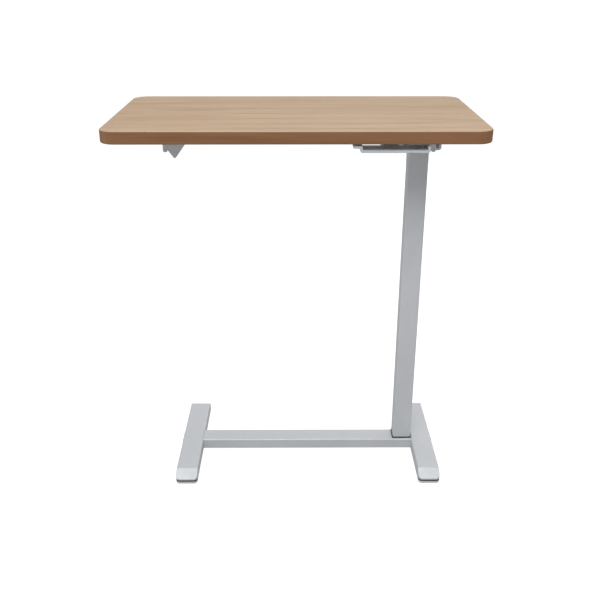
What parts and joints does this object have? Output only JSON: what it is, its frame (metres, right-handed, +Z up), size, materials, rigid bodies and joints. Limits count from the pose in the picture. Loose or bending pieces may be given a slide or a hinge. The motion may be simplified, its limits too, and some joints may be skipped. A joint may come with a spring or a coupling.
{
  "type": "overbed table",
  "caption": "Overbed table: wooden top held at one side by a telescoping column on an H-shaped steel base, with a height release paddle under the front edge.",
  "frame": {"origin": "on the floor, under the middle of the table top", "axes": "+Z up; +X along the long side towards the column; the user's long edge faces -Y"},
  "size_m": [0.762, 0.381, 0.855],
  "materials": {
    "wood_top": "satin laminated wood with fine grain along X",
    "silver_paint": "satin silver powder coat",
    "silver_plastic": "satin silver moulded plastic",
    "paddle_paint": "satin light grey powder coat",
    "hook_plastic": "light grey moulded plastic",
    "black_rubber": "matt black",
    "dark_plastic": "dark grey acetal",
    "glide_nylon": "dark nylon",
    "zinc_steel": "zinc plated",
    "bare_steel": "plain steel",
    "inner_chrome": "bright drawn",
    "black_paint": "black enamel"
  },
  "bodies": {
    "base": {"left_foot_tube": "silver_paint", "right_foot_tube": "silver_paint", "crossbar": "silver_paint", "left_crossbar_plate": "bare_steel", "right_crossbar_plate": "bare_steel", "end_cap_inserts": "black_rubber", "foot_bolts": "zinc_steel", "access_plugs": "silver_plastic", "column_gasket": "black_rubber", "outer_column": "silver_paint", "column_base_block": "bare_steel", "column_bolts": "zinc_steel", "upper_guide": "dark_plastic", "spring_post": "bare_steel", "spring_rod": "inner_chrome", "spring_piston": "bare_steel", "left_front_end_cap": "silver_plastic", "left_front_glide": "glide_nylon", "left_rear_end_cap": "silver_plastic", "left_rear_glide": "glide_nylon", "right_front_end_cap": "silver_plastic", "right_front_glide": "glide_nylon", "right_rear_end_cap": "silver_plastic", "right_rear_glide": "glide_nylon"},
    "lift": {"bracket_screws": "zinc_steel", "front_rail": "silver_paint", "gas_cylinder": "black_paint", "head_bolts": "zinc_steel", "head_plate": "silver_paint", "hook_screws": "zinc_steel", "inner_column": "inner_chrome", "left_front_rail_cap": "silver_plastic", "left_hook": "hook_plastic", "left_rear_rail_cap": "silver_plastic", "lower_guide": "dark_plastic", "pivot_bracket": "zinc_steel", "pivot_clip": "zinc_steel", "pivot_pin": "zinc_steel", "rail_screws": "zinc_steel", "rear_rail": "silver_paint", "return_spring": "bare_steel", "right_front_rail_cap": "silver_plastic", "right_hook": "hook_plastic", "right_rear_rail_cap": "silver_plastic", "rivet_nuts": "zinc_steel", "saddle": "silver_paint", "saddle_bolts": "zinc_steel", "spring_lock_nut": "zinc_steel", "table_top": "wood_top"},
    "paddle": {"release_paddle": "paddle_paint", "lever_arm": "zinc_steel", "paddle_screws": "zinc_steel"},
    "valve": {"valve_pin": "zinc_steel"}
  },
  "joints": [
    {"name": "height_slide", "type": "slide", "parent": "base", "child": "lift", "axis": [0, 0, 1], "range_m": [0, 0.285]},
    {"name": "paddle_squeeze", "type": "hinge", "parent": "lift", "child": "paddle", "pos_m": [0.19, -0.1, 0.8055], "axis": [-1, 0, 0], "range_deg": [0, 2.4], "stiffness_Nm_per_rad": 20, "springref_deg": -3.44},
    {"name": "valve_press", "type": "slide", "parent": "lift", "child": "valve", "axis": [0, 0, -1], "range_m": [0, 0.0044], "stiffness_N_per_m": 400}
  ],
  "couplings": [
    {"joint": "valve_press", "follows": "paddle_squeeze", "m_per_rad": 0.1035}
  ]
}
